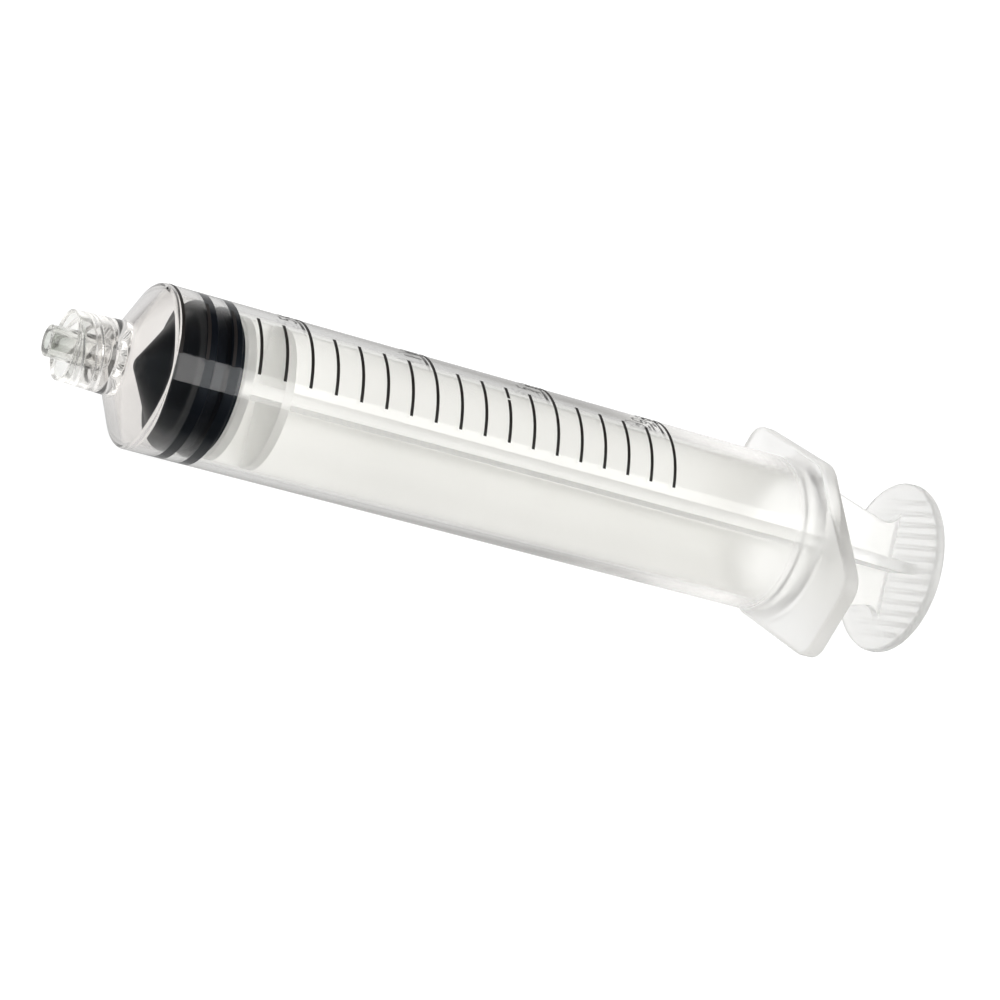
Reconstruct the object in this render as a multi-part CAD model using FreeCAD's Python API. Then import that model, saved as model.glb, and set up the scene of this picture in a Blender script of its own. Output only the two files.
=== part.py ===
# Three-piece 20 ml luer lock syringe, lying on its side.
# Frame: millimetres. The origin is the centre of the luer tip's end face, +X runs along the axis
# towards the thumb press and +Z points up from the surface that the syringe lies on.
import FreeCAD, Part
import math
import os
from FreeCAD import Vector

# Barrel tube and the volume scale, which follows from the bore
nominal_ml = 20
bore_diameter = 19.13
barrel_wall = 0.93
zero_line_x = 13.2
tube_start_x = 12.9
flange_front_x = 105.8

# Luer taper: 6 percent on diameter, as every luer fitting has
luer_tip_diameter = 3.97
luer_taper_per_mm = 0.06
lumen_diameter = 2.1
tip_edge_bevel = 0.2

# Lock collar with its double-start internal thread
collar_front_x = 2.2
collar_floor_x = 7.6
collar_front_diameter = 8.9
collar_base_diameter = 9.5
collar_root_diameter = 8.0
collar_crest_diameter = 7.0
collar_mouth_chamfer = 0.35
thread_starts = 2
thread_lead = 5.0
thread_root_width = 1.1
thread_crest_width = 0.5
thread_mouth_gap = 0.7
thread_bed = 0.15

# Conical shoulder
shoulder_rise = 0.62
shoulder_edge_bevel = 0.4
bore_cone_rise = 0.63
bore_cone_floor_x = 8.1
bore_cone_floor_diameter = 3.2

# Open end: retaining ring, mouth and finger flange
ring_height = 0.25
ring_width = 1.6
ring_to_flange = 0.9
mouth_chamfer = 0.6
flange_thickness = 2.3
flange_length = 38.4
flange_width = 23.56
flange_taper_deg = 18.0
flange_end_corner_radius = 3.0
flange_side_corner_radius = 5.0
flange_edge_bevel = 0.35
flange_flare_radius = 1.9

# Printed scale: each stroke runs round the barrel from scale_start_deg, measured from +Y towards +Z
ink_thickness = 0.04
stroke_width = 0.42
scale_start_deg = 119.4
short_stroke_deg = 47.1
long_stroke_deg = 74.0
long_every_ml = 5
broken_stroke_ml = 13
broken_stroke_share = 0.72
broken_stroke_gap_deg = 1.6

# Stopper
stopper_tip_x = 11.6
stopper_tip_diameter = 1.2
stopper_length = 10.6
stopper_cone_rise = 0.66
stopper_clearance = 0.03
stopper_neck_depth = 0.85
rib_width = 1.9
rib_land_width = 1.5
front_rib_from_rear = 3.85
rear_rib_from_rear = 0.55

# Rod head inside the stopper
head_clearance = 0.06
head_diameter = 9.0
head_length = 3.0
head_taper = 0.8
head_neck_diameter = 6.0
head_neck_length = 2.6

# Plunger rod
guide_disc_clearance = 0.415
guide_disc_thickness = 1.3
guide_disc_spacing = 5.4
seat_gap = 0.1
vane_clearance = 0.465
vane_thickness = 1.5
vane_waist_span = 11.4
vane_narrowing_length = 12.8
vane_root_radius = 2.0
rod_turn_deg = 39.0
press_x = 123.4
press_diameter = 23.5
press_thickness = 1.4
press_edge_bevel = 0.4
grip_rib_count = 13
grip_rib_pitch = 1.52
grip_rib_width = 0.6
grip_rib_height = 0.3
grip_rim_width = 1.4

# Values that the shapes are worked out with
mm3_per_ml = 1000
cut_overshoot = 1.0
same_place = 1e-6

bore_radius = bore_diameter / 2
barrel_radius = bore_radius + barrel_wall
flange_rear_x = flange_front_x + flange_thickness
stopper_rear_x = stopper_tip_x + stopper_length
X_AXIS = Vector(1, 0, 0)
ORIGIN = Vector(0, 0, 0)


def section_point(x, radius):
    return Vector(x, 0, radius)


def section_face(start, *steps):
    # A closed face in the XZ plane. Each step is a point (x, radius) or an arc (middle point, end point).
    edges = []
    here = section_point(*start)
    for step in steps + (start,):
        if isinstance(step[0], tuple):
            middle, end = (section_point(*point) for point in step)
            edges.append(Part.Arc(here, middle, end).toShape())
        else:
            end = section_point(*step)
            edges.append(Part.LineSegment(here, end).toShape())
        here = end
    return Part.Face(Part.Wire(edges))


def revolved(start, *steps):
    return section_face(start, *steps).revolve(ORIGIN, X_AXIS, 360)


def arc_point(centre, arc_radius, angle_deg):
    angle = math.radians(angle_deg)
    return (centre[0] + arc_radius * math.cos(angle), centre[1] + arc_radius * math.sin(angle))


def cylinder(start_x, end_x, radius):
    return Part.makeCylinder(radius, end_x - start_x, Vector(start_x, 0, 0), X_AXIS)


def luer_radius(x):
    return luer_tip_diameter / 2 + x * luer_taper_per_mm / 2


def export(shape, node):
    shape.exportStep(os.path.join("parts", node + ".step"))
    print(node, "volume", round(shape.Volume, 3), "valid", shape.isValid(), "solids", len(shape.Solids))


# Barrel

def barrel_blank():
    # The outside of the moulding, from the luer tip to the flange's rear face, still filled inside
    root = collar_root_diameter / 2
    edge_start = (tube_start_x - shoulder_edge_bevel, barrel_radius - shoulder_edge_bevel / 2)
    shoulder_foot_x = edge_start[0] - shoulder_rise * (edge_start[1] - collar_base_diameter / 2)
    return revolved(
        (0, 0),
        (0, luer_radius(0) - tip_edge_bevel),
        (tip_edge_bevel, luer_radius(tip_edge_bevel)),
        (collar_floor_x, luer_radius(collar_floor_x)),
        (collar_floor_x, root),
        (collar_front_x + collar_mouth_chamfer, root),
        (collar_front_x, root + collar_mouth_chamfer),
        (collar_front_x, collar_front_diameter / 2),
        (shoulder_foot_x, collar_base_diameter / 2),
        edge_start,
        (tube_start_x, barrel_radius),
        (flange_rear_x, barrel_radius),
        (flange_rear_x, 0),
    )


def barrel_bore():
    # Lumen, conical floor, tube bore, retaining ring and chamfered mouth
    lumen = lumen_diameter / 2
    floor_radius = bore_cone_floor_diameter / 2
    cone_end_x = bore_cone_floor_x + bore_cone_rise * (bore_radius - floor_radius)
    ring_end_x = flange_front_x - ring_to_flange
    return revolved(
        (-cut_overshoot, 0),
        (-cut_overshoot, lumen),
        (bore_cone_floor_x, lumen),
        (bore_cone_floor_x, floor_radius),
        (cone_end_x, bore_radius),
        (ring_end_x - ring_width, bore_radius),
        (ring_end_x - ring_width / 2, bore_radius - ring_height),
        (ring_end_x, bore_radius),
        (flange_rear_x - mouth_chamfer, bore_radius),
        (flange_rear_x + cut_overshoot, bore_radius + mouth_chamfer + cut_overshoot),
        (flange_rear_x + cut_overshoot, 0),
    )


def flange_outline(inset):
    # Six-sided outline, long towards the two finger ends, with one tapered side level with the ground
    taper = math.radians(flange_taper_deg)
    end = flange_length / 2 - inset
    side = (flange_width / 2 - inset) / math.cos(taper)
    end_half = side - end * math.tan(taper)
    corners = [(end, end_half), (0, side), (-end, end_half), (-end, -end_half), (0, -side), (end, -end_half)]
    points = [Vector(0, y, z) for y, z in corners + corners[:1]]
    return Part.Face(Part.makePolygon(points))


def flange_prism(start_x, end_x, inset):
    prism = flange_outline(inset).extrude(Vector(end_x - start_x, 0, 0))
    end = flange_length / 2 - inset
    for corner_y, corner_radius in ((0, flange_side_corner_radius), (end, flange_end_corner_radius)):
        corner_edges = [edge for edge in prism.Edges if is_corner(edge, corner_y)]
        prism = prism.makeFillet(corner_radius - inset, corner_edges)
    prism.rotate(ORIGIN, X_AXIS, -flange_taper_deg)
    prism.translate(Vector(start_x, 0, 0))
    return prism


def is_corner(edge, corner_y):
    # A straight edge along X that stands corner_y from the middle of the outline
    along_axis = edge.BoundBox.YLength < same_place and edge.BoundBox.ZLength < same_place
    return along_axis and abs(abs(edge.CenterOfMass.y) - corner_y) < same_place


def finger_flange():
    # The plate with its bevelled rims, and the hollow flare that blends it into the tube
    plate = flange_prism(flange_front_x, flange_rear_x, 0)
    rims = [edge for edge in plate.Edges if edge.BoundBox.XLength < same_place]
    plate = plate.makeChamfer(flange_edge_bevel, rims)
    flare_start_x = flange_front_x - flange_flare_radius
    arc_centre = (flare_start_x, barrel_radius + flange_flare_radius)
    flare = revolved(
        (flare_start_x, bore_radius),
        (flare_start_x, barrel_radius),
        (arc_point(arc_centre, flange_flare_radius, -45), (flange_front_x, arc_centre[1])),
        (flange_front_x + flange_edge_bevel, arc_centre[1]),
        (flange_front_x + flange_edge_bevel, bore_radius),
    )
    trim = flange_prism(flare_start_x, flange_front_x + flange_edge_bevel, flange_edge_bevel)
    return plate.fuse(flare.common(trim))


def lock_threads():
    # Two right-handed starts, trapezoid in section, inside the collar
    root = collar_root_diameter / 2
    crest = collar_crest_diameter / 2
    bed = root + thread_bed
    length = collar_floor_x - collar_front_x - thread_mouth_gap
    run = length + 2 * thread_root_width
    ridge_start_x = collar_floor_x - run + thread_root_width
    helix = Part.makeHelix(thread_lead, run, root)
    root_half = thread_root_width / 2
    crest_half = thread_crest_width / 2
    corners = [(bed, root_half), (crest, crest_half), (crest, -crest_half), (bed, -root_half)]
    profile = Part.makePolygon([Vector(x, 0, z) for x, z in corners + corners[:1]])
    ridge = Part.Wire(helix).makePipeShell([profile], True, True)
    ridge.rotate(ORIGIN, Vector(0, 1, 0), 90)
    ridge.translate(Vector(ridge_start_x, 0, 0))
    zone = cylinder(collar_front_x + thread_mouth_gap, collar_floor_x + thread_bed, bed)
    starts = []
    for start in range(thread_starts):
        turned = ridge.copy()
        turned.rotate(ORIGIN, X_AXIS, 360 * start / thread_starts)
        starts.append(turned.common(zone))
    return starts


def make_barrel():
    blank = barrel_blank().fuse(finger_flange())
    return blank.cut(barrel_bore()).fuse(lock_threads()).removeSplitter()


# Printed scale

def ink_stroke(x, start_deg, sweep_deg):
    half = stroke_width / 2
    skin = section_face(
        (x - half, barrel_radius),
        (x - half, barrel_radius + ink_thickness),
        (x + half, barrel_radius + ink_thickness),
        (x + half, barrel_radius),
    )
    skin.rotate(ORIGIN, X_AXIS, start_deg - 90)
    return skin.revolve(ORIGIN, X_AXIS, sweep_deg)


def make_graduation_marks():
    # One stroke for each millilitre, longer at every fifth, running over the top of the barrel
    ml_length = mm3_per_ml / (math.pi * bore_radius ** 2)
    strokes = []
    for ml in range(nominal_ml + 1):
        x = zero_line_x + ml * ml_length
        sweep = long_stroke_deg if ml % long_every_ml == 0 else short_stroke_deg
        if ml == broken_stroke_ml:
            first = sweep * broken_stroke_share
            rest = sweep - first - broken_stroke_gap_deg
            strokes.append(ink_stroke(x, scale_start_deg, -first))
            strokes.append(ink_stroke(x, scale_start_deg - first - broken_stroke_gap_deg, -rest))
        else:
            strokes.append(ink_stroke(x, scale_start_deg, -sweep))
    return Part.makeCompound(strokes)


# Stopper

def sealing_rib(end_x, foot_radius):
    # Section of one rib, from its foot up a bevel, along the land that seals, and down to the neck
    crest = bore_radius - stopper_clearance
    bevel_width = (rib_width - rib_land_width) / 2
    return [
        (end_x - rib_width, foot_radius),
        (end_x - rib_width + bevel_width, crest),
        (end_x - bevel_width, crest),
        (end_x, bore_radius - stopper_neck_depth),
    ]


def make_stopper():
    # Conical front, two sealing ribs with a neck between them, and the pocket for the rod's head
    tip = stopper_tip_diameter / 2
    neck = bore_radius - stopper_neck_depth
    front_rib_end_x = stopper_rear_x - front_rib_from_rear
    rear_rib_end_x = stopper_rear_x - rear_rib_from_rear
    cone_length = front_rib_end_x - rib_width - stopper_tip_x
    outside = revolved(
        (stopper_tip_x, 0),
        (stopper_tip_x, tip),
        *sealing_rib(front_rib_end_x, tip + cone_length / stopper_cone_rise),
        *sealing_rib(rear_rib_end_x, neck),
        (stopper_rear_x, neck),
        (stopper_rear_x, 0),
    )
    return outside.cut(rod_head(head_clearance))


def rod_head(growth):
    # The mushroom that snaps into the stopper; growth gives the pocket that it sits in
    neck = head_neck_diameter / 2 + growth
    head = head_diameter / 2 + growth
    neck_end_x = stopper_rear_x + seat_gap
    barb_x = stopper_rear_x - head_neck_length + growth
    head_front_x = barb_x - head_length - 2 * growth
    return revolved(
        (head_front_x, 0),
        (head_front_x, head - head_taper - growth),
        (barb_x - head_length / 2, head),
        (barb_x, head),
        (barb_x, neck),
        (neck_end_x, neck),
        (neck_end_x, 0),
    )


# Plunger rod

def vane_plate():
    # One wall of the cross: full span inside the barrel, narrowing to a waist that flares into the press
    span = bore_radius - vane_clearance
    waist = vane_waist_span / 2
    waist_end_x = press_x - vane_root_radius
    narrowing_x = waist_end_x - vane_narrowing_length
    start_x = stopper_rear_x + seat_gap + guide_disc_thickness / 2
    root_middle = arc_point((waist_end_x, waist + vane_root_radius), vane_root_radius, -45)
    edge = [(start_x, span), (narrowing_x, span), (waist_end_x, waist)]
    upper = [section_point(x, radius) for x, radius in edge]
    lower = [section_point(x, -radius) for x, radius in edge]
    foot = section_point(press_x, waist + vane_root_radius)
    lower_foot = section_point(press_x, -waist - vane_root_radius)
    wire = Part.Wire([
        Part.makePolygon(upper),
        Part.Arc(upper[-1], section_point(*root_middle), foot).toShape(),
        Part.makePolygon([foot, lower_foot]),
        Part.Arc(lower_foot, section_point(root_middle[0], -root_middle[1]), lower[-1]).toShape(),
        Part.makePolygon(lower[::-1]),
        Part.makePolygon([lower[0], upper[0]]),
    ])
    plate = Part.Face(wire).extrude(Vector(0, vane_thickness, 0))
    plate.translate(Vector(0, -vane_thickness / 2, 0))
    return plate


def thumb_press():
    # Round plate with a bevelled rim and straight grip ribs across its pressing face
    radius = press_diameter / 2
    rear_x = press_x + press_thickness
    plate = revolved(
        (press_x, 0),
        (press_x, radius - press_edge_bevel),
        (press_x + press_edge_bevel, radius),
        (rear_x - press_edge_bevel, radius),
        (rear_x, radius - press_edge_bevel),
        (rear_x, 0),
    )
    field = cylinder(rear_x - grip_rib_height, rear_x + grip_rib_height, radius - grip_rim_width)
    ribs = []
    for number in range(grip_rib_count):
        offset = (number - (grip_rib_count - 1) / 2) * grip_rib_pitch
        bar = Part.makeBox(2 * grip_rib_height, grip_rib_width, press_diameter)
        bar.translate(Vector(rear_x - grip_rib_height, offset - grip_rib_width / 2, -radius))
        ribs.append(bar.common(field))
    return plate.fuse(ribs)


def make_plunger_rod():
    first_disc_x = stopper_rear_x + seat_gap
    second_disc_x = first_disc_x + guide_disc_spacing
    disc_radius = bore_radius - guide_disc_clearance
    discs = [
        cylinder(x, x + guide_disc_thickness, disc_radius)
        for x in (first_disc_x, second_disc_x)
    ]
    vane = vane_plate()
    crossing_vane = vane.copy()
    crossing_vane.rotate(ORIGIN, X_AXIS, 90)
    rod = thumb_press().fuse([rod_head(0), vane, crossing_vane] + discs).removeSplitter()
    rod.rotate(ORIGIN, X_AXIS, rod_turn_deg)
    return rod


os.makedirs("parts", exist_ok=True)
export(make_barrel(), "barrel")
export(make_graduation_marks(), "graduation_marks")
export(make_stopper(), "stopper")
export(make_plunger_rod(), "plunger_rod")
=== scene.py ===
from math import atan2, cos, hypot, pi, radians, sin, sqrt

import bmesh
import bpy
from mathutils import Euler, Matrix, Vector


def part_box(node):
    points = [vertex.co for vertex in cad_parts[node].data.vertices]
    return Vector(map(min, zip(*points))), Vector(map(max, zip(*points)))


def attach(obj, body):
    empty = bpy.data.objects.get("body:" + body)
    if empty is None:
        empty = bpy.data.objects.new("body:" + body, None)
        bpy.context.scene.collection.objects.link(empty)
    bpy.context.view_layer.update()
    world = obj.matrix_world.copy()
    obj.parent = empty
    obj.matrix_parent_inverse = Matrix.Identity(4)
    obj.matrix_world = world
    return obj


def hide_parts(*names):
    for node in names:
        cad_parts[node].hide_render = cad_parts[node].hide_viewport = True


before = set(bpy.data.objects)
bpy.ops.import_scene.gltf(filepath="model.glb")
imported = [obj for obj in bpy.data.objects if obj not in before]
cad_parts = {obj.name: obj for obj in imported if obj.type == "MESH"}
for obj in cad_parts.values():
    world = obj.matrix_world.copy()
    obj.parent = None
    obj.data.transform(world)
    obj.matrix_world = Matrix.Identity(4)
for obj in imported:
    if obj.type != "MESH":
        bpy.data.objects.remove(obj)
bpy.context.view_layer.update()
mm = 0.001
scene = bpy.context.scene
xAxis = Vector((1, 0, 0))
barrelLow, barrelHigh = (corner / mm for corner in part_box("barrel"))
stopperLow, stopperHigh = (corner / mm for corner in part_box("stopper"))
rodLow, rodHigh = (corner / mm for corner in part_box("plunger_rod"))


# Shared mesh helpers

def spinSection(corners, segments, dense=None):
    # Spins a section of (x, radius, rounding) corners about the x axis, in millimetres, into a closed shape.
    # dense is (end corner, cuts): the edge that ends there is divided so that its wall can be shaped later.
    shape = bmesh.new()
    verts = [shape.verts.new((x, 0, radius)) for x, radius, rounding in corners]
    for before, vert in zip(verts[-1:] + verts, verts):
        if before.co.z > 0 or vert.co.z > 0:
            shape.edges.new((before, vert))
    if dense:
        wall = shape.edges.get((verts[dense[0] - 1], verts[dense[0]]))
        bmesh.ops.subdivide_edges(shape, edges=[wall], cuts=dense[1])
    for x, radius, rounding in corners:
        if rounding:
            corner = min(shape.verts, key=lambda vert: (vert.co - Vector((x, 0, radius))).length)
            bmesh.ops.bevel(shape, geom=[corner], offset=rounding, offset_type="OFFSET", segments=5,
                            profile=0.5, affect="VERTICES", material=-1)
    bmesh.ops.spin(shape, geom=shape.verts[:] + shape.edges[:], cent=(0, 0, 0), axis=xAxis,
                   angle=2 * pi, steps=segments, use_merge=True)
    bmesh.ops.remove_doubles(shape, verts=shape.verts[:], dist=1e-5)
    bmesh.ops.recalc_face_normals(shape, faces=shape.faces[:])
    return shape


def roundVert(vert):
    return hypot(vert.co.y, vert.co.z), atan2(vert.co.z, vert.co.y)


def setRadius(vert, radius):
    now, angle = roundVert(vert)
    vert.co.y = radius * cos(angle)
    vert.co.z = radius * sin(angle)


def finishMesh(shape, name, sharpDegrees=35):
    # Turns a bmesh in millimetres into a smooth shaded object in metres
    bmesh.ops.scale(shape, vec=(mm, mm, mm), verts=shape.verts[:])
    mesh = bpy.data.meshes.new(name)
    shape.to_mesh(mesh)
    shape.free()
    mesh.shade_smooth()
    mesh.set_sharp_from_angle(angle=radians(sharpDegrees))
    piece = bpy.data.objects.new(name, mesh)
    scene.collection.objects.link(piece)
    return piece


def unite(name, shapes, sharpDegrees=35):
    # One closed mesh from overlapping closed shapes
    parts = [finishMesh(shape, name + "Part") for shape in shapes]
    others = bpy.data.collections.new(name + "Parts")
    for part in parts[1:]:
        others.objects.link(part)
    union = parts[0].modifiers.new("union", "BOOLEAN")
    union.operation = "UNION"
    union.solver = "EXACT"
    union.operand_type = "COLLECTION"
    union.collection = others
    solid = parts[0].evaluated_get(bpy.context.evaluated_depsgraph_get())
    mesh = bpy.data.meshes.new_from_object(solid)
    for part in parts:
        bpy.data.objects.remove(part)
    bpy.data.collections.remove(others)
    mesh.name = name
    mesh.materials.clear()
    mesh.shade_smooth()
    mesh.set_sharp_from_angle(angle=radians(sharpDegrees))
    piece = bpy.data.objects.new(name, mesh)
    scene.collection.objects.link(piece)
    return piece


# Barrel

barrel = {
    "segments": 256,
    "boreRadius": 9.565,
    "wall": 0.93,
    "lumenRadius": 1.05,
    "tipRadius": 1.985,
    "tipTaper": 0.03,
    "collarFront": 2.2,
    "collarLeadIn": 0.35,
    "collarFloor": 7.6,
    "collarFrontRadius": 4.45,
    "collarBaseRadius": 4.75,
    "threadRootRadius": 4.0,
    "threadHeight": 0.5,
    "threadLead": 5.0,
    "threadStarts": 2,
    "threadRootWidth": 1.1,
    "threadCrestWidth": 0.5,
    "threadFadeIn": 0.5,
    "threadRings": 72,
    "shoulderFoot": 9.0,
    "shoulderEnd": 12.35,
    "boreConeFloor": 8.58,
    "boreConeRadius": 1.6,
    "boreConeRise": 0.58,
    "retainingRing": (103.3, 104.9, 0.25),
    "flareRadius": 1.9,
    "mouthChamfer": 0.6,
}

flange = {
    "thickness": 2.3,
    "endHalf": 19.2,
    "sideHalf": 11.78,
    "taperDegrees": 18,
    "endCorner": 3.0,
    "sideCorner": 5.0,
    "rimRadius": 16.0,
    "edge": 0.45,
}


def flangeReach(angle):
    # Distance from the axis to the six-sided outline, which has two long ends and rounded corners
    taper = radians(flange["taperDegrees"])
    along = abs(cos(angle + taper))
    across = abs(sin(angle + taper))
    reach = min(flange["endHalf"] / max(along, 1e-9),
                flange["sideHalf"] / (along * sin(taper) + across * cos(taper)))
    endInset = flange["endHalf"] - flange["endCorner"]
    endLevel = flange["sideHalf"] - flange["endCorner"] - endInset * sin(taper)
    corners = [
        (endInset, endLevel / cos(taper), flange["endCorner"], 0, pi / 2 - taper),
        (0, (flange["sideHalf"] - flange["sideCorner"]) / cos(taper), flange["sideCorner"],
         pi / 2 - taper, pi / 2),
    ]
    for centreAlong, centreAcross, radius, lowAngle, highAngle in corners:
        middle = along * centreAlong + across * centreAcross
        inside = radius ** 2 - centreAlong ** 2 - centreAcross ** 2 + middle ** 2
        if inside > 0:
            onArc = middle + sqrt(inside)
            turn = atan2(onArc * across - centreAcross, onArc * along - centreAlong)
            if lowAngle <= turn <= highAngle:
                reach = onArc
    return reach


def threadRise(x, angle):
    # Height of the two helical ridges above the collar's inner wall
    pitch = barrel["threadLead"] / barrel["threadStarts"]
    place = (x - barrel["threadLead"] * angle / (2 * pi)) % pitch
    fromCrest = abs(place - pitch / 2)
    foot = barrel["threadRootWidth"] / 2
    crest = barrel["threadCrestWidth"] / 2
    rise = min(1, max(0, (foot - fromCrest) / (foot - crest)))
    fadeIn = min(1, max(0, (x - barrel["collarFront"]) / barrel["threadFadeIn"] - 1))
    return barrel["threadHeight"] * rise * rise * (3 - 2 * rise) * fadeIn


def makeBarrel():
    b = barrel
    outer = b["boreRadius"] + b["wall"]
    rear = barrelHigh.x
    front = rear - flange["thickness"]
    floorRadius = b["tipRadius"] + b["tipTaper"] * b["collarFloor"]
    root = b["threadRootRadius"]
    coneEnd = b["boreConeFloor"] + b["boreConeRise"] * (b["boreRadius"] - b["boreConeRadius"])
    ringStart, ringEnd, ringHeight = b["retainingRing"]
    sections = [
        (0, b["lumenRadius"], 0.12),
        (0, b["tipRadius"], 0.25),
        (b["collarFloor"], floorRadius, 0.2),
        (b["collarFloor"], root, 0),
        (b["collarFront"] + b["collarLeadIn"], root, 0),
        (b["collarFront"], root + b["collarLeadIn"], 0),
        (b["collarFront"], b["collarFrontRadius"], 0.08),
        (b["shoulderFoot"], b["collarBaseRadius"], 0.4),
        (b["shoulderEnd"], outer, 0.4),
        (front, outer, b["flareRadius"]),
        (front, flange["rimRadius"], flange["edge"]),
        (rear, flange["rimRadius"], flange["edge"]),
        (rear, b["boreRadius"] + b["mouthChamfer"], 0.1),
        (rear - b["mouthChamfer"], b["boreRadius"], 0.1),
        (ringEnd, b["boreRadius"], 0.2),
        ((ringStart + ringEnd) / 2, b["boreRadius"] - ringHeight, 0.3),
        (ringStart, b["boreRadius"], 0.2),
        (coneEnd, b["boreRadius"], 0.3),
        (b["boreConeFloor"], b["boreConeRadius"], 0.2),
        (b["boreConeFloor"], b["lumenRadius"], 0.1),
    ]
    threadWall = 4
    shape = spinSection(sections, b["segments"], dense=(threadWall, b["threadRings"]))
    flareTop = outer + b["flareRadius"] + 0.01
    for vert in shape.verts:
        radius, angle = roundVert(vert)
        x = vert.co.x
        if x > front - b["flareRadius"] - 0.1 and radius > outer:
            reach = flangeReach(angle)
            if radius > flareTop:
                setRadius(vert, reach - flange["rimRadius"] + radius)
            else:
                setRadius(vert, min(radius, reach - flange["edge"]))
        elif abs(radius - root) < 0.001 and b["collarFront"] < x < b["collarFloor"]:
            setRadius(vert, root - threadRise(x, angle))
    piece = finishMesh(shape, "clearBarrel")
    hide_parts("barrel")
    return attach(piece, "barrel")


# Stopper

stopper = {
    "segments": 192,
    "tipRadius": 0.6,
    "coneRise": 0.66,
    "neckDepth": 0.85,
    "squeeze": 0.01,
    "ribWidth": 1.9,
    "ribLand": 1.5,
    "frontRibFromRear": 3.85,
    "rearRibFromRear": 0.55,
    "pocketNeck": 3.06,
    "pocketHead": 4.56,
    "pocketTaper": 0.9,
    "pocketDepth": 5.66,
    "pocketLip": 2.54,
}


def makeStopper():
    s = stopper
    tip = stopperLow.x
    rear = stopperHigh.x
    neck = barrel["boreRadius"] - s["neckDepth"]
    crest = barrel["boreRadius"] + s["squeeze"]
    frontRibEnd = rear - s["frontRibFromRear"]
    rearRibEnd = rear - s["rearRibFromRear"]
    ribRise = (s["ribWidth"] - s["ribLand"]) / 2
    coneRadius = s["tipRadius"] + (frontRibEnd - s["ribWidth"] - tip) / s["coneRise"]
    sections = [
        (tip, 0, 0),
        (tip, s["tipRadius"], 0.3),
        (frontRibEnd - s["ribWidth"], coneRadius, 0.3),
        (frontRibEnd - ribRise - s["ribLand"], crest, 0.15),
        (frontRibEnd - ribRise, crest, 0.15),
        (frontRibEnd, neck, 0.2),
        (rearRibEnd - s["ribWidth"], neck, 0.2),
        (rearRibEnd - ribRise - s["ribLand"], crest, 0.15),
        (rearRibEnd - ribRise, crest, 0.15),
        (rearRibEnd, neck, 0),
        (rear, neck, 0.15),
        (rear, s["pocketNeck"], 0.1),
        (rear - s["pocketLip"], s["pocketNeck"], 0.1),
        (rear - s["pocketLip"], s["pocketHead"], 0.1),
        (rear - s["pocketDepth"], s["pocketHead"] - s["pocketTaper"], 0.3),
        (rear - s["pocketDepth"], 0, 0),
    ]
    shape = spinSection(sections, s["segments"])
    piece = finishMesh(shape, "rubberStopper")
    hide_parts("stopper")
    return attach(piece, "stopper")


# Plunger rod

rod = {
    "segments": 160,
    "discClearance": 0.415,
    "discThickness": 1.3,
    "discSpacing": 5.4,
    "seatGap": 0.1,
    "vaneClearance": 0.465,
    "vaneThickness": 1.5,
    "waistHalf": 5.7,
    "narrowingLength": 12.8,
    "rootRadius": 2.0,
    "rootSteps": 8,
    "turnDegrees": 39,
    "pressThickness": 1.4,
    "pressRadius": 11.75,
    "headRadius": 4.5,
    "headTaper": 0.8,
    "headLength": 3.0,
    "neckRadius": 3.0,
    "neckOverlap": 0.3,
    "gripRibs": 13,
    "gripPitch": 1.52,
    "gripWidth": 0.6,
    "gripHeight": 0.3,
    "gripRounding": 0.18,
    "gripRim": 1.4,
}


def crossVanes(start, pressFront):
    # A plus-shaped section drawn out along x, its four arms narrowing to the waist before the press
    r = rod
    span = barrel["boreRadius"] - r["vaneClearance"]
    waistEnd = pressFront - r["rootRadius"]
    stations = [(start, span), (waistEnd - r["narrowingLength"], span), (waistEnd, r["waistHalf"])]
    for step in range(1, r["rootSteps"] + 1):
        angle = pi / 2 * step / r["rootSteps"]
        stations.append((waistEnd + r["rootRadius"] * sin(angle),
                         r["waistHalf"] + r["rootRadius"] * (1 - cos(angle))))
    stations.append((pressFront + r["pressThickness"] / 2, stations[-1][1]))
    half = r["vaneThickness"] / 2
    shape = bmesh.new()
    bmesh.ops.create_grid(shape, x_segments=3, y_segments=3, size=1)
    bmesh.ops.rotate(shape, verts=shape.verts[:], cent=(0, 0, 0), matrix=Matrix.Rotation(pi / 2, 3, "Y"))
    corners = [face for face in shape.faces if abs(face.calc_center_median().y) > 0.4
               and abs(face.calc_center_median().z) > 0.4]
    bmesh.ops.delete(shape, geom=corners, context="FACES")
    for vert in shape.verts:
        vert.co.x = start
        for axis in (1, 2):
            vert.co[axis] = (half if abs(vert.co[axis]) < 0.5 else span) * (1 if vert.co[axis] > 0 else -1)
    front = shape.faces[:]
    for (x, reach), (before, reachBefore) in zip(stations[1:], stations):
        out = bmesh.ops.extrude_face_region(shape, geom=front)
        moved = [item for item in out["geom"] if isinstance(item, bmesh.types.BMVert)]
        if before > start:
            bmesh.ops.delete(shape, geom=front, context="FACES")
        front = [item for item in out["geom"] if isinstance(item, bmesh.types.BMFace)]
        for vert in moved:
            vert.co.x = x
            for axis in (1, 2):
                if abs(abs(vert.co[axis]) - reachBefore) < 1e-4:
                    vert.co[axis] = reach if vert.co[axis] > 0 else -reach
    bmesh.ops.recalc_face_normals(shape, faces=shape.faces[:])
    return shape


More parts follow.
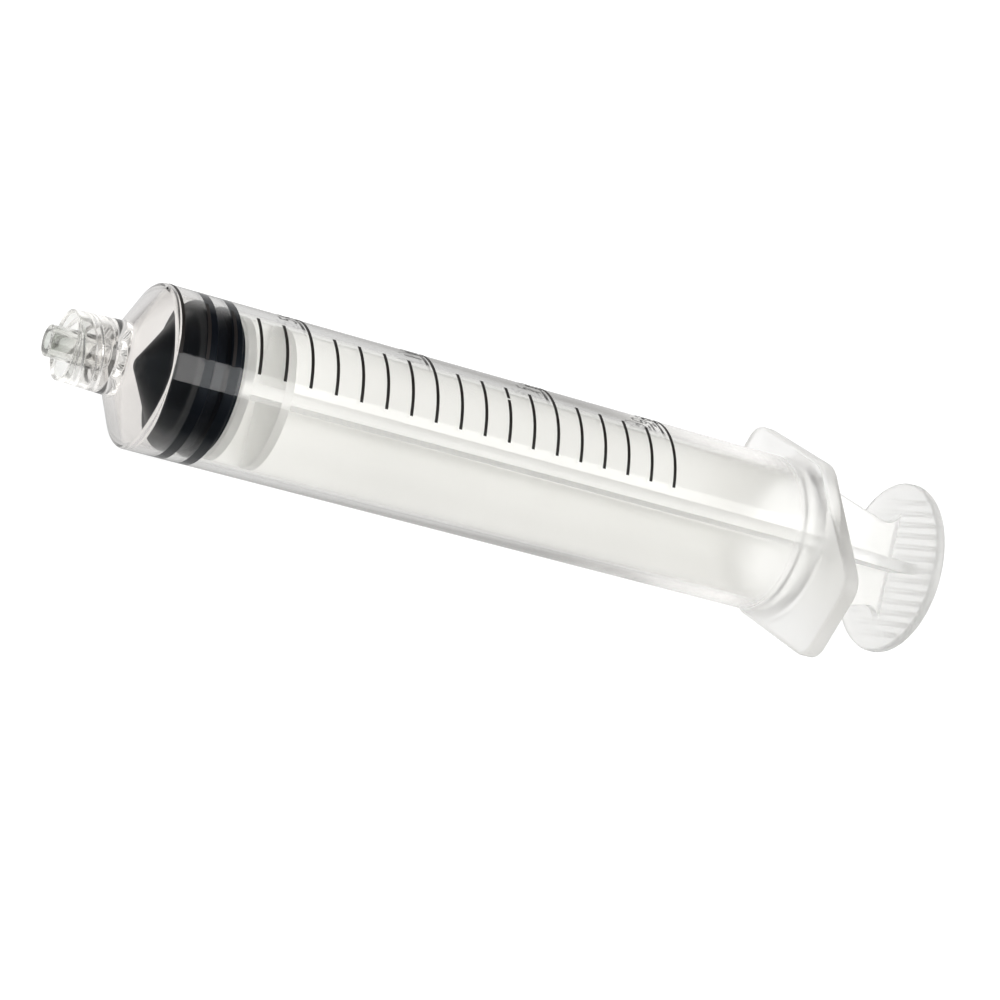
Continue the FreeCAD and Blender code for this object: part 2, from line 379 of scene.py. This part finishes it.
def gripBar(offset, rear):
    # One straight rib on the pressing face, ending inside the smooth rim
    r = rod
    field = r["pressRadius"] - r["gripRim"]
    length = 2 * sqrt(field ** 2 - offset ** 2)
    shape = bmesh.new()
    bmesh.ops.create_cube(shape, size=1)
    bmesh.ops.scale(shape, verts=shape.verts[:], vec=(2 * r["gripHeight"], r["gripWidth"], length))
    bmesh.ops.translate(shape, verts=shape.verts[:], vec=(rear, offset, 0))
    top = [edge for edge in shape.edges if all(v.co.x > rear for v in edge.verts)]
    bmesh.ops.bevel(shape, geom=top, offset=r["gripRounding"], offset_type="OFFSET", segments=3,
                    profile=0.5, affect="EDGES", material=-1)
    return shape


def makeRod():
    r = rod
    discRadius = barrel["boreRadius"] - r["discClearance"]
    firstDisc = stopperHigh.x + r["seatGap"]
    pressRear = rodHigh.x - r["gripHeight"]
    pressFront = pressRear - r["pressThickness"]
    neckEnd = firstDisc + r["neckOverlap"]
    head = [
        (rodLow.x, 0, 0),
        (rodLow.x, r["headRadius"] - r["headTaper"], 0.3),
        (rodLow.x + r["headLength"] / 2, r["headRadius"], 0.3),
        (rodLow.x + r["headLength"], r["headRadius"], 0.15),
        (rodLow.x + r["headLength"], r["neckRadius"], 0.1),
        (neckEnd, r["neckRadius"], 0),
        (neckEnd, 0, 0),
    ]
    shapes = [crossVanes(firstDisc + r["discThickness"] / 2, pressFront), spinSection(head, r["segments"])]
    for x in (firstDisc, firstDisc + r["discSpacing"]):
        disc = [(x, 0, 0), (x, discRadius, 0.2),
                (x + r["discThickness"], discRadius, 0.2), (x + r["discThickness"], 0, 0)]
        shapes.append(spinSection(disc, r["segments"]))
    press = [(pressFront, 0, 0), (pressFront, r["pressRadius"], 0.5),
             (pressRear, r["pressRadius"], 0.5), (pressRear, 0, 0)]
    shapes.append(spinSection(press, r["segments"]))
    middle = (r["gripRibs"] - 1) / 2
    shapes += [gripBar((number - middle) * r["gripPitch"], pressRear) for number in range(r["gripRibs"])]
    for shape in shapes:
        bmesh.ops.rotate(shape, verts=shape.verts[:], cent=(0, 0, 0),
                         matrix=Matrix.Rotation(radians(r["turnDegrees"]), 3, "X"))
    piece = unite("plungerRod", shapes)
    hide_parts("plunger_rod")
    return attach(piece, "plunger_rod")


# Numerals of the scale

numerals = {
    "zeroLine": 13.2,
    "height": 2.5,
    "heightShare": 0.7,
    "toLine": 0.45,
    "middleDegrees": 50,
    "thickness": 0.03,
    "values": (5, 10, 15, 20),
}


def makeNumerals():
    # Printed beside the long lines, upright when the nozzle points up.
    # The digits' height is heightShare of the font size.
    n = numerals
    outer = barrel["boreRadius"] + barrel["wall"]
    mlLength = 1000 / (pi * barrel["boreRadius"] ** 2)
    for value in n["values"]:
        words = bpy.data.curves.new("numeral", "FONT")
        words.body = str(value)
        words.size = n["height"] / n["heightShare"]
        words.align_x = "CENTER"
        words.extrude = n["thickness"] / 2
        words.resolution_u = 6
        source = bpy.data.objects.new("numeral", words)
        mesh = bpy.data.meshes.new_from_object(source)
        shape = bmesh.new()
        shape.from_mesh(mesh)
        bpy.data.objects.remove(source)
        bmesh.ops.remove_doubles(shape, verts=shape.verts[:], dist=1e-4)
        line = n["zeroLine"] + value * mlLength
        for vert in shape.verts:
            right, up, out = vert.co
            angle = radians(n["middleDegrees"]) - right / outer
            radius = outer + n["thickness"] / 2 + out
            vert.co = (line - n["toLine"] - up, radius * cos(angle), radius * sin(angle))
        piece = finishMesh(shape, "numeral" + str(value), 20)
        piece.data.materials.append(inkMaterial)
        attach(piece, "barrel")


# Materials

def mathNode(nodes, links, operation, *values):
    # A Math node whose inputs are numbers or sockets
    node = nodes.new("ShaderNodeMath")
    node.operation = operation
    for socket, value in zip(node.inputs, values):
        if isinstance(value, (int, float)):
            socket.default_value = value
        else:
            links.new(value, socket)
    return node.outputs[0]


def makeMouldedSurface():
    # Slight unevenness of a moulded skin: broad waves, fine grain and a roughness that wanders with them
    group = bpy.data.node_groups.new("mouldedSurface", "ShaderNodeTree")
    face = group.interface
    for name, value in (("Wave Scale", 60), ("Grain Scale", 2500), ("Grain Share", 0.3),
                        ("Roughness", 0.1), ("Variation", 0.05)):
        face.new_socket(name, in_out="INPUT", socket_type="NodeSocketFloat").default_value = value
    face.new_socket("Height", in_out="OUTPUT", socket_type="NodeSocketFloat")
    face.new_socket("Roughness", in_out="OUTPUT", socket_type="NodeSocketFloat")
    nodes, links = group.nodes, group.links
    given = nodes.new("NodeGroupInput")
    result = nodes.new("NodeGroupOutput")
    place = nodes.new("ShaderNodeTexCoord")
    waves = nodes.new("ShaderNodeTexNoise")
    grain = nodes.new("ShaderNodeTexNoise")
    blend = nodes.new("ShaderNodeMix")
    for texture, scale in ((waves, "Wave Scale"), (grain, "Grain Scale")):
        texture.inputs["Detail"].default_value = 0
        links.new(place.outputs["Object"], texture.inputs["Vector"])
        links.new(given.outputs[scale], texture.inputs["Scale"])
    links.new(given.outputs["Grain Share"], blend.inputs["Factor"])
    links.new(waves.outputs["Fac"], blend.inputs["A"])
    links.new(grain.outputs["Fac"], blend.inputs["B"])
    links.new(blend.outputs["Result"], result.inputs["Height"])
    centred = mathNode(nodes, links, "SUBTRACT", blend.outputs["Result"], 0.5)
    rough = mathNode(nodes, links, "MULTIPLY_ADD", centred, given.outputs["Variation"],
                     given.outputs["Roughness"])
    links.new(rough, result.inputs["Roughness"])
    return group


def startMaterial(name, look, surface):
    # A Principled material whose bump and roughness come from the moulded surface group
    material = bpy.data.materials.new(name)
    material.use_nodes = True
    material.cycles.emission_sampling = "NONE"  # a faint painted glow, which the rays find without aiming at it
    nodes, links = material.node_tree.nodes, material.node_tree.links
    shader = nodes["Principled BSDF"]
    for socket, value in look.items():
        shader.inputs[socket].default_value = value
    skin = nodes.new("ShaderNodeGroup")
    skin.node_tree = mouldedSurface
    for socket, value in surface.items():
        if socket in skin.inputs:
            skin.inputs[socket].default_value = value
    bump = nodes.new("ShaderNodeBump")
    bump.inputs["Strength"].default_value = surface["Bump"]
    bump.inputs["Distance"].default_value = surface["Distance"]
    links.new(skin.outputs["Height"], bump.inputs["Height"])
    links.new(skin.outputs["Roughness"], shader.inputs["Roughness"])
    links.new(bump.outputs["Normal"], shader.inputs["Normal"])
    return material, shader, skin


def letLampsThrough(material, shader, tint):
    # Lamps shine through the plastic, tinted a little at each wall
    nodes, links = material.node_tree.nodes, material.node_tree.links
    path = nodes.new("ShaderNodeLightPath")
    clear = nodes.new("ShaderNodeBsdfTransparent")
    clear.inputs["Color"].default_value = tint
    choose = nodes.new("ShaderNodeMixShader")
    links.new(path.outputs["Is Shadow Ray"], choose.inputs["Fac"])
    links.new(shader.outputs["BSDF"], choose.inputs[1])
    links.new(clear.outputs["BSDF"], choose.inputs[2])
    links.new(choose.outputs["Shader"], nodes["Material Output"].inputs["Surface"])


# Along the barrel, in millimetres from the tip
# Base colour: the plastic's own grey tint, with painted shade that darkens the nozzle most and the shoulder
# and flange end a little
barrelTintsAndPaintedShade = (
    (0, (0.6, 0.62, 0.59)),
    (4, (0.87, 0.87, 0.855)),
    (9, (0.922, 0.904, 0.888)),
    (13, (0.922, 0.904, 0.888)),
    (20, (0.918, 0.915, 0.902)),
    (70, (0.94, 0.937, 0.924)),
    (95, (0.934, 0.931, 0.918)),
    (108.1, (0.917, 0.915, 0.903)),
)
barrelHaze = (
    (0, 0.08),
    (7, 0.08),
    (9.5, 0.015),
    (24, 0.015),
    (34, 0.04),
    (98, 0.08),
    (104, 0.35),
    (108.1, 0.35),
)
# Painted glow of the clear plastic, strongest at the nozzle and at the flange
barrelPaintedGlow = ((0, 0.14), (8, 0.14), (11, 0.03), (98, 0.03), (103, 0.12), (108.1, 0.12))
# Painted glow of the milky rod, strongest at its front near the stopper
rodPaintedGlow = ((0, 0.065), (27, 0.065), (45, 0.02), (95, 0.01), (108.1, 0.03))


def grey(stops):
    return [(x, (value, value, value)) for x, value in stops]


def alongBarrel(nodes, links, place, stops):
    # A colour ramp that runs along the barrel
    along = nodes.new("ShaderNodeMapRange")
    along.inputs["From Max"].default_value = barrelHigh.x * mm
    ramp = nodes.new("ShaderNodeValToRGB")
    steps = ramp.color_ramp.elements
    steps[0].color = (*stops[0][1], 1)
    steps[1].color = (*stops[-1][1], 1)
    for x, colour in stops[1:-1]:
        steps.new(x / barrelHigh.x).color = (*colour, 1)
    links.new(place, along.inputs["Value"])
    links.new(along.outputs["Result"], ramp.inputs["Fac"])
    return ramp.outputs["Color"]


def glowInside(nodes, links, place, shader):
    # Painted light: the plastic emits a glow, set along the barrel, into each ray that is turned round
    # inside its walls, standing in for light the plastic would scatter
    path = nodes.new("ShaderNodeLightPath")
    inside = mathNode(nodes, links, "GREATER_THAN", path.outputs["Glossy Depth"], 0.5)
    level = alongBarrel(nodes, links, place, grey(barrelPaintedGlow))
    shader.inputs["Emission Color"].default_value = (1, 0.98, 0.95, 1)
    links.new(mathNode(nodes, links, "MULTIPLY", inside, level), shader.inputs["Emission Strength"])


def makeClearPlastic():
    material, shader, skin = startMaterial(
        "clearPlastic",
        {"IOR": 1.49, "Transmission Weight": 1},
        {"Wave Scale": 90, "Grain Scale": 3000, "Grain Share": 0.1, "Variation": 0.04,
         "Bump": 0.05, "Distance": 0.00001})
    nodes, links = material.node_tree.nodes, material.node_tree.links
    place = nodes.new("ShaderNodeTexCoord")
    parts = nodes.new("ShaderNodeSeparateXYZ")
    links.new(place.outputs["Object"], parts.inputs["Vector"])
    links.new(alongBarrel(nodes, links, parts.outputs["X"], barrelTintsAndPaintedShade), shader.inputs["Base Color"])
    links.new(alongBarrel(nodes, links, parts.outputs["X"], grey(barrelHaze)), skin.inputs["Roughness"])
    glowInside(nodes, links, parts.outputs["X"], shader)
    letLampsThrough(material, shader, (0.94, 0.94, 0.93, 1))
    return material


def makeMilkyPlastic():
    material, shader, skin = startMaterial(
        "milkyPlastic",
        {"Base Color": (0.96, 0.958, 0.945, 1), "IOR": 1.49, "Transmission Weight": 0.85,
         "Emission Color": (1, 0.995, 0.97, 1)},
        {"Wave Scale": 120, "Grain Scale": 3500, "Grain Share": 0.3, "Roughness": 0.35,
         "Variation": 0.1, "Bump": 0.3, "Distance": 0.00005})
    # Painted light: the milky plastic glows, most at the front of the rod, standing in for light it gathers
    # inside the bright barrel
    nodes, links = material.node_tree.nodes, material.node_tree.links
    place = nodes.new("ShaderNodeTexCoord")
    parts = nodes.new("ShaderNodeSeparateXYZ")
    links.new(place.outputs["Object"], parts.inputs["Vector"])
    glow = alongBarrel(nodes, links, parts.outputs["X"], grey(rodPaintedGlow))
    links.new(glow, shader.inputs["Emission Strength"])
    letLampsThrough(material, shader, (0.95, 0.95, 0.94, 1))
    return material


def makeRubber():
    return startMaterial(
        "blackRubber",
        {"Base Color": (0.003, 0.004, 0.007, 1), "IOR": 1.5, "Specular IOR Level": 0.27,
         "Specular Tint": (0.75, 0.88, 1, 1)},
        {"Wave Scale": 200, "Grain Scale": 1500, "Grain Share": 0.3, "Roughness": 0.34,
         "Variation": 0.1, "Bump": 0.1, "Distance": 0.00003})[0]


def makeInk():
    return startMaterial(
        "printInk",
        {"Base Color": (0.012, 0.009, 0.008, 1), "IOR": 1.5},
        {"Wave Scale": 800, "Grain Scale": 9000, "Grain Share": 0.5, "Roughness": 0.5,
         "Variation": 0.2, "Bump": 0.2, "Distance": 0.00001})[0]


# Studio

studio = {
    "floorReach": 8.0,
    "floorColour": (0.2, 0.2, 0.2, 1),
    "floorShade": (0.03, 0.03, 0.03, 1),
    "floorShadeEdge": (-0.035, -0.012),
    "floorShadeEnd": (-0.015, 0.005),
    "floorMirrored": 0.5,
    "floorGlow": 0.94,
    "worldFill": 0.8,
    "worldBright": (0, 0.85, -0.53),
    "worldBand": (0.42, 0.7),
    "worldLevels": (0.02, 0.8),
    "keyTarget": (0.045, 0, 0.01),
    "keyDirection": (0.37, -0.50, 0.78),
    "keyDistance": 0.5,
    "keySize": (0.5, 0.34),
    "keyWatts": 1.0,
    "overheadDistance": 0.9,
    "overheadSize": (1.2, 1.2),
    "overheadWatts": 5.5,
    "cameraPlace": (-0.12957, -0.27710, 0.28693),
    "cameraDegrees": (41.652, -28.868, -6.807),
    "lens": 123.98,
}


def seesBackground(nodes, links, path):
    # 1 for rays that show the white background: straight ones and those that only went through plastic
    either = mathNode(nodes, links, "MAXIMUM", path.outputs["Is Camera Ray"],
                      path.outputs["Is Transmission Ray"])
    turns = mathNode(nodes, links, "ADD", path.outputs["Glossy Depth"], path.outputs["Diffuse Depth"])
    straight = mathNode(nodes, links, "LESS_THAN", turns, 0.5)
    return mathNode(nodes, links, "MULTIPLY", either, straight)


def makeFloor():
    # White to the camera. Reflections see it white under and behind the syringe and dark in front.
    shape = bmesh.new()
    bmesh.ops.create_grid(shape, x_segments=1, y_segments=1, size=studio["floorReach"] / mm)
    bmesh.ops.translate(shape, verts=shape.verts[:], vec=(0, 0, barrelLow.z))
    floor = finishMesh(shape, "floor")
    material = bpy.data.materials.new("paleFloor")
    material.use_nodes = True
    material.cycles.emission_sampling = "NONE"
    nodes, links = material.node_tree.nodes, material.node_tree.links
    shader = nodes["Principled BSDF"]
    shader.inputs["Roughness"].default_value = 0.9
    shader.inputs["Specular IOR Level"].default_value = 0.1
    shader.inputs["Emission Color"].default_value = (1, 1, 1, 1)
    path = nodes.new("ShaderNodeLightPath")
    place = nodes.new("ShaderNodeTexCoord")
    parts = nodes.new("ShaderNodeSeparateXYZ")
    bright = []
    for axis, edge in (("Y", "floorShadeEdge"), ("X", "floorShadeEnd")):
        side = nodes.new("ShaderNodeMapRange")
        side.inputs["From Min"].default_value, side.inputs["From Max"].default_value = studio[edge]
        links.new(parts.outputs[axis], side.inputs["Value"])
        bright.append(side.outputs["Result"])
    links.new(place.outputs["Object"], parts.inputs["Vector"])
    behind = mathNode(nodes, links, "MULTIPLY", bright[0], bright[1])
    mirrored = mathNode(nodes, links, "MINIMUM", path.outputs["Glossy Depth"], 1)
    seen = mathNode(nodes, links, "MULTIPLY", behind, mirrored)
    dimmed = mathNode(nodes, links, "MULTIPLY", seen, studio["floorMirrored"])
    shown = mathNode(nodes, links, "MAXIMUM", seesBackground(nodes, links, path), dimmed)
    glow = mathNode(nodes, links, "MULTIPLY", shown, studio["floorGlow"])
    links.new(glow, shader.inputs["Emission Strength"])
    colour = nodes.new("ShaderNodeMix")
    colour.data_type = "RGBA"
    colour.inputs["A"].default_value = studio["floorColour"]
    colour.inputs["B"].default_value = studio["floorShade"]
    links.new(mathNode(nodes, links, "SUBTRACT", mirrored, seen), colour.inputs["Factor"])
    links.new(colour.outputs["Result"], shader.inputs["Base Color"])
    floor.data.materials.append(material)


def makeWorld():
    # White seen straight or through plastic. Light and reflections come from low behind, none from overhead.
    world = bpy.data.worlds.new("studio")
    world.use_nodes = True
    nodes, links = world.node_tree.nodes, world.node_tree.links
    white = nodes["Background"]
    white.inputs["Color"].default_value = (1, 1, 1, 1)
    room = nodes.new("ShaderNodeBackground")
    place = nodes.new("ShaderNodeTexCoord")
    along = nodes.new("ShaderNodeVectorMath")
    along.operation = "DOT_PRODUCT"
    along.inputs[1].default_value = studio["worldBright"]
    ramp = nodes.new("ShaderNodeMapRange")
    ramp.inputs["From Min"].default_value, ramp.inputs["From Max"].default_value = studio["worldBand"]
    ramp.inputs["To Min"].default_value, ramp.inputs["To Max"].default_value = studio["worldLevels"]
    path = nodes.new("ShaderNodeLightPath")
    scattered = mathNode(nodes, links, "MINIMUM", path.outputs["Diffuse Depth"], 1)
    fill = mathNode(nodes, links, "MULTIPLY", scattered, studio["worldFill"])
    level = mathNode(nodes, links, "MAXIMUM", fill, ramp.outputs["Result"])
    choose = nodes.new("ShaderNodeMixShader")
    links.new(place.outputs["Generated"], along.inputs[0])
    links.new(along.outputs["Value"], ramp.inputs["Value"])
    links.new(level, room.inputs["Strength"])
    links.new(seesBackground(nodes, links, path), choose.inputs["Fac"])
    links.new(room.outputs["Background"], choose.inputs[1])
    links.new(white.outputs["Background"], choose.inputs[2])
    links.new(choose.outputs["Shader"], nodes["World Output"].inputs["Surface"])
    scene.world = world


def addSoftbox(name, target, direction, distance, size, watts, shiny):
    light = bpy.data.lights.new(name, "AREA")
    light.shape = "RECTANGLE"
    light.size, light.size_y = size
    light.energy = watts
    lamp = bpy.data.objects.new(name, light)
    back = Vector(direction).normalized()
    lamp.location = Vector(target) + back * distance
    side = (xAxis - back * xAxis.dot(back)).normalized()
    lamp.rotation_mode = "QUATERNION"
    lamp.rotation_quaternion = Matrix((side, back.cross(side), back)).transposed().to_quaternion()
    lamp.visible_glossy = shiny
    lamp.visible_transmission = shiny
    scene.collection.objects.link(lamp)


def makeCamera():
    data = bpy.data.cameras.new("camera")
    data.lens = studio["lens"]
    data.sensor_width = 36
    data.clip_start = 0.01
    data.clip_end = 50
    camera = bpy.data.objects.new("camera", data)
    camera.location = studio["cameraPlace"]
    camera.rotation_euler = Euler([radians(turn) for turn in studio["cameraDegrees"]], "XYZ")
    scene.collection.objects.link(camera)
    scene.camera = camera


scene.view_settings.view_transform = "Standard"
scene.cycles.max_bounces = 20  # clear walls within walls need long light paths
scene.cycles.glossy_bounces = 12
scene.cycles.transmission_bounces = 20
makeCamera()
makeWorld()
makeFloor()
addSoftbox("keySoftbox", studio["keyTarget"], studio["keyDirection"], studio["keyDistance"],
           studio["keySize"], studio["keyWatts"], True)
addSoftbox("overheadSoftbox", studio["keyTarget"], (0, 0, 1), studio["overheadDistance"],
           studio["overheadSize"], studio["overheadWatts"], False)
print("studio ready")

mouldedSurface = makeMouldedSurface()
clearPlastic = makeClearPlastic()
milkyPlastic = makeMilkyPlastic()
blackRubber = makeRubber()
inkMaterial = makeInk()
print("materials ready")

makeBarrel().data.materials.append(clearPlastic)
print("barrel ready")
makeStopper().data.materials.append(blackRubber)
print("stopper ready")
makeRod().data.materials.append(milkyPlastic)
print("plunger rod ready")
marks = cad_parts["graduation_marks"]
marks.data.materials.clear()
marks.data.materials.append(inkMaterial)
makeNumerals()
print("printed scale ready")
